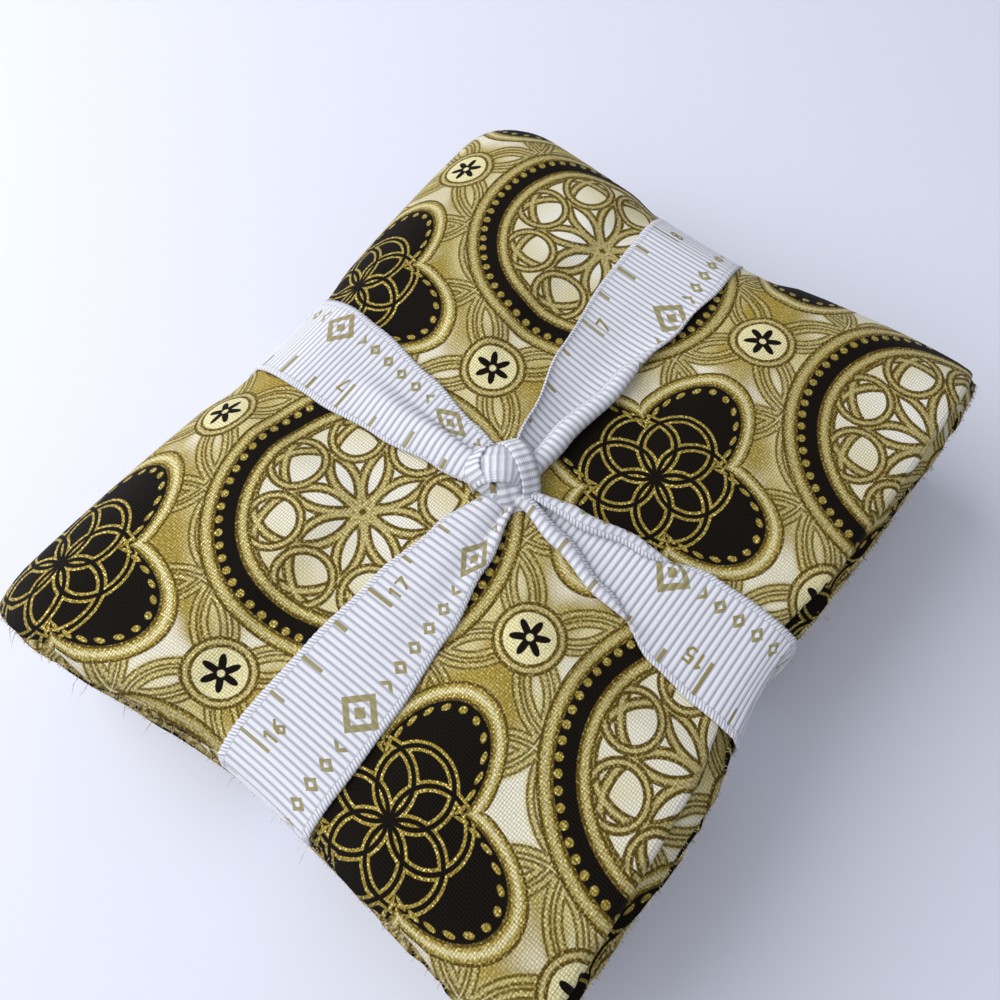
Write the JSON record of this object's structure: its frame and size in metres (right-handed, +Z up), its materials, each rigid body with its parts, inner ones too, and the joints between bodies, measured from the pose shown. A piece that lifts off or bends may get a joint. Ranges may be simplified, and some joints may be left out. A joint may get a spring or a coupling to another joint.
{
  "type": "fat quarter bundle",
  "caption": "Folded cotton fat quarters stacked with their rounded spines together and tied like a parcel with a narrow grosgrain ribbon, knotted on top.",
  "frame": {"origin": "middle of the bundle's footprint, on the plane it lies on", "axes": "+X along the longer side, +Y towards the rounded spines of the folded fat quarters, +Z up"},
  "size_m": [0.1216, 0.1012, 0.0448],
  "materials": {
    "cotton": "plain-woven cotton, printed in black, cream and metallic gold",
    "grosgrain": "ribbed ribbon, matte"
  },
  "bodies": {
    "root": {"fat_quarter_1": "cotton", "fat_quarter_2": "cotton", "fat_quarter_3": "cotton", "fat_quarter_4": "cotton", "fat_quarter_5": "cotton", "ribbon": "grosgrain"}
  },
  "joints": []
}
